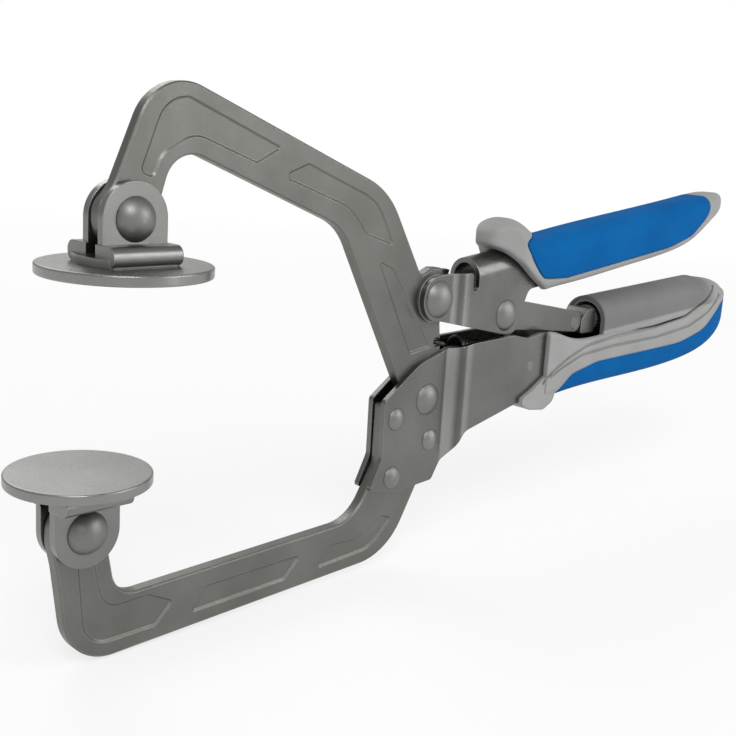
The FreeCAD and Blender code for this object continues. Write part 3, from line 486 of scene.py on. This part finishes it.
def addJawSpring():
    hook, anchor = Vector(jawSpring["hook"]), Vector(jawSpring["anchor"])
    along = (anchor - hook).normalized()
    inset = jawSpring["hookRadius"] - jawSpring["wireRadius"]
    coilStart = hook + along * (inset + jawSpring["lead"])
    coil = makeSpring("jaw_spring_coil", coilStart, anchor - along * inset, jawSpring)
    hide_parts("jaw_spring")
    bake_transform(coil)


def addPlungerSpring():
    low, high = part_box("plunger_spring")
    height = (low.z + high.z) / 2
    room = plungerSpring["wireRadius"]
    coil = makeSpring("plunger_spring_coil", (low.x + room, 0, height), (high.x - room, 0, height),
                      plungerSpring)
    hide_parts("plunger_spring")
    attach(coil, "plunger")


addJawSpring()
addPlungerSpring()
print("springs wound")


# Camera

cameraPlace = {
    "position": (-0.1190, -0.2018, 0.0774),
    "azimuth": 45.6,          # degrees from +Y towards +X
    "pitch": 12.6,            # degrees down
    "roll": 3.63,
    "imagePixels": 736,
    "focalPixels": 1101.0,    # focal length in pixels of that image
    "nearest": 0.01,
}


def addCamera():
    azimuth, pitch, roll = (math.radians(cameraPlace[k]) for k in ("azimuth", "pitch", "roll"))
    forward = Vector((math.sin(azimuth) * math.cos(pitch), math.cos(azimuth) * math.cos(pitch),
                      -math.sin(pitch)))
    level = Vector((math.cos(azimuth), -math.sin(azimuth), 0))
    up = level.cross(forward)
    right = math.cos(roll) * level + math.sin(roll) * up
    top = -math.sin(roll) * level + math.cos(roll) * up
    data = bpy.data.cameras.new("photo camera")
    data.sensor_width = 36.0
    data.lens = cameraPlace["focalPixels"] * data.sensor_width / cameraPlace["imagePixels"]
    data.clip_start = cameraPlace["nearest"]
    camera = addObject("photo camera", data)
    camera.matrix_world = Matrix.Translation(cameraPlace["position"]) @ Matrix(
        (right, top, -forward)).transposed().to_4x4()
    bpy.context.scene.camera = camera


# Floor and world

stageLook = {
    "floorHalf": 3.0,
    "floorDrop": 0.0004,      # how far the floor lies under the lowest piece
    "floorTone": 0.86,
    "floorRoughness": 0.9,
    "fadeReach": (0.35, 1.1),         # distances over which the floor turns white
    "nearWhite": 0.72,        # share of white close to the object, so that its shadow shows
    "worldLight": 0.55,
}


def paleSurface(name):
    material, tree, shader = newMaterial(name)
    shader.inputs["Base Color"].default_value = (*[stageLook["floorTone"]] * 3, 1)
    shader.inputs["Roughness"].default_value = stageLook["floorRoughness"]
    glow = addNode(tree, "ShaderNodeEmission")
    path = addNode(tree, "ShaderNodeLightPath").outputs
    coords = addNode(tree, "ShaderNodeTexCoord")
    reach = addNode(tree, "ShaderNodeVectorMath", operation="LENGTH")
    tree.links.new(coords.outputs["Object"], reach.inputs[0])
    seen = join(tree, "ShaderNodeMath", "MAXIMUM", path["Is Camera Ray"], path["Is Glossy Ray"])
    white = mapRange(tree, reach.outputs["Value"], *stageLook["fadeReach"],
                     stageLook["nearWhite"], 1.0)
    mix = addNode(tree, "ShaderNodeMixShader")
    tree.links.new(product(tree, seen.outputs[0], white), mix.inputs["Fac"])
    tree.links.new(shader.outputs[0], mix.inputs[1])
    tree.links.new(glow.outputs[0], mix.inputs[2])
    tree.links.new(mix.outputs[0], tree.nodes["Material Output"].inputs["Surface"])
    return material


def addFloor():
    half = stageLook["floorHalf"]
    level = min(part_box(name)[0].z for name in nodes) - stageLook["floorDrop"]
    mesh = bpy.data.meshes.new("floor")
    mesh.from_pydata([(-half, -half, level), (half, -half, level), (half, half, level),
                      (-half, half, level)], [], [(0, 1, 2, 3)])
    mesh.materials.append(paleSurface("pale floor"))
    addObject("floor", mesh)


def addWorld():
    world = bpy.data.worlds.new("studio")
    world.use_nodes = True
    tree = world.node_tree
    background = tree.nodes["Background"]
    background.inputs["Color"].default_value = (1, 1, 1, 1)
    path = addNode(tree, "ShaderNodeLightPath")
    seen = mapRange(tree, path.outputs["Is Camera Ray"], 0, 1, stageLook["worldLight"], 1.0)
    tree.links.new(seen, background.inputs["Strength"])
    bpy.context.scene.world = world


# Lamps: sizes in metres, power in watts

lamps = {
    "key light": {"place": (-0.35, -0.55, 0.75), "target": (0.10, 0, 0.02), "size": 0.5,
                  "power": 4.4},
    "fill light": {"place": (0.75, -0.65, 0.40), "target": (0.12, 0, 0.02), "size": 0.6,
                   "power": 2.3},
    "strip light": {"place": (0.44, -0.76, 0.25), "target": (0.115, 0, 0.0), "size": 0.12,
                    "power": 1.3, "tall": 1.0},
    "back light": {"place": (0.30, 0.75, 0.65), "target": (0.12, 0, 0.02), "size": 0.6,
                   "power": 2.3},
}


def addLamp(name, place, target, size, power, tall=None):
    data = bpy.data.lights.new(name, "AREA")
    data.shape = "RECTANGLE" if tall else "DISK"
    data.size = size
    if tall:
        data.size_y = tall
    data.energy = power
    aim = (Vector(target) - Vector(place)).to_track_quat("-Z", "Y").to_matrix().to_4x4()
    addObject(name, data).matrix_world = Matrix.Translation(place) @ aim


addCamera()
addFloor()
addWorld()
for name, values in lamps.items():
    addLamp(name, **values)
bpy.context.scene.view_settings.view_transform = "Standard"
print("camera, lamps and floor set")
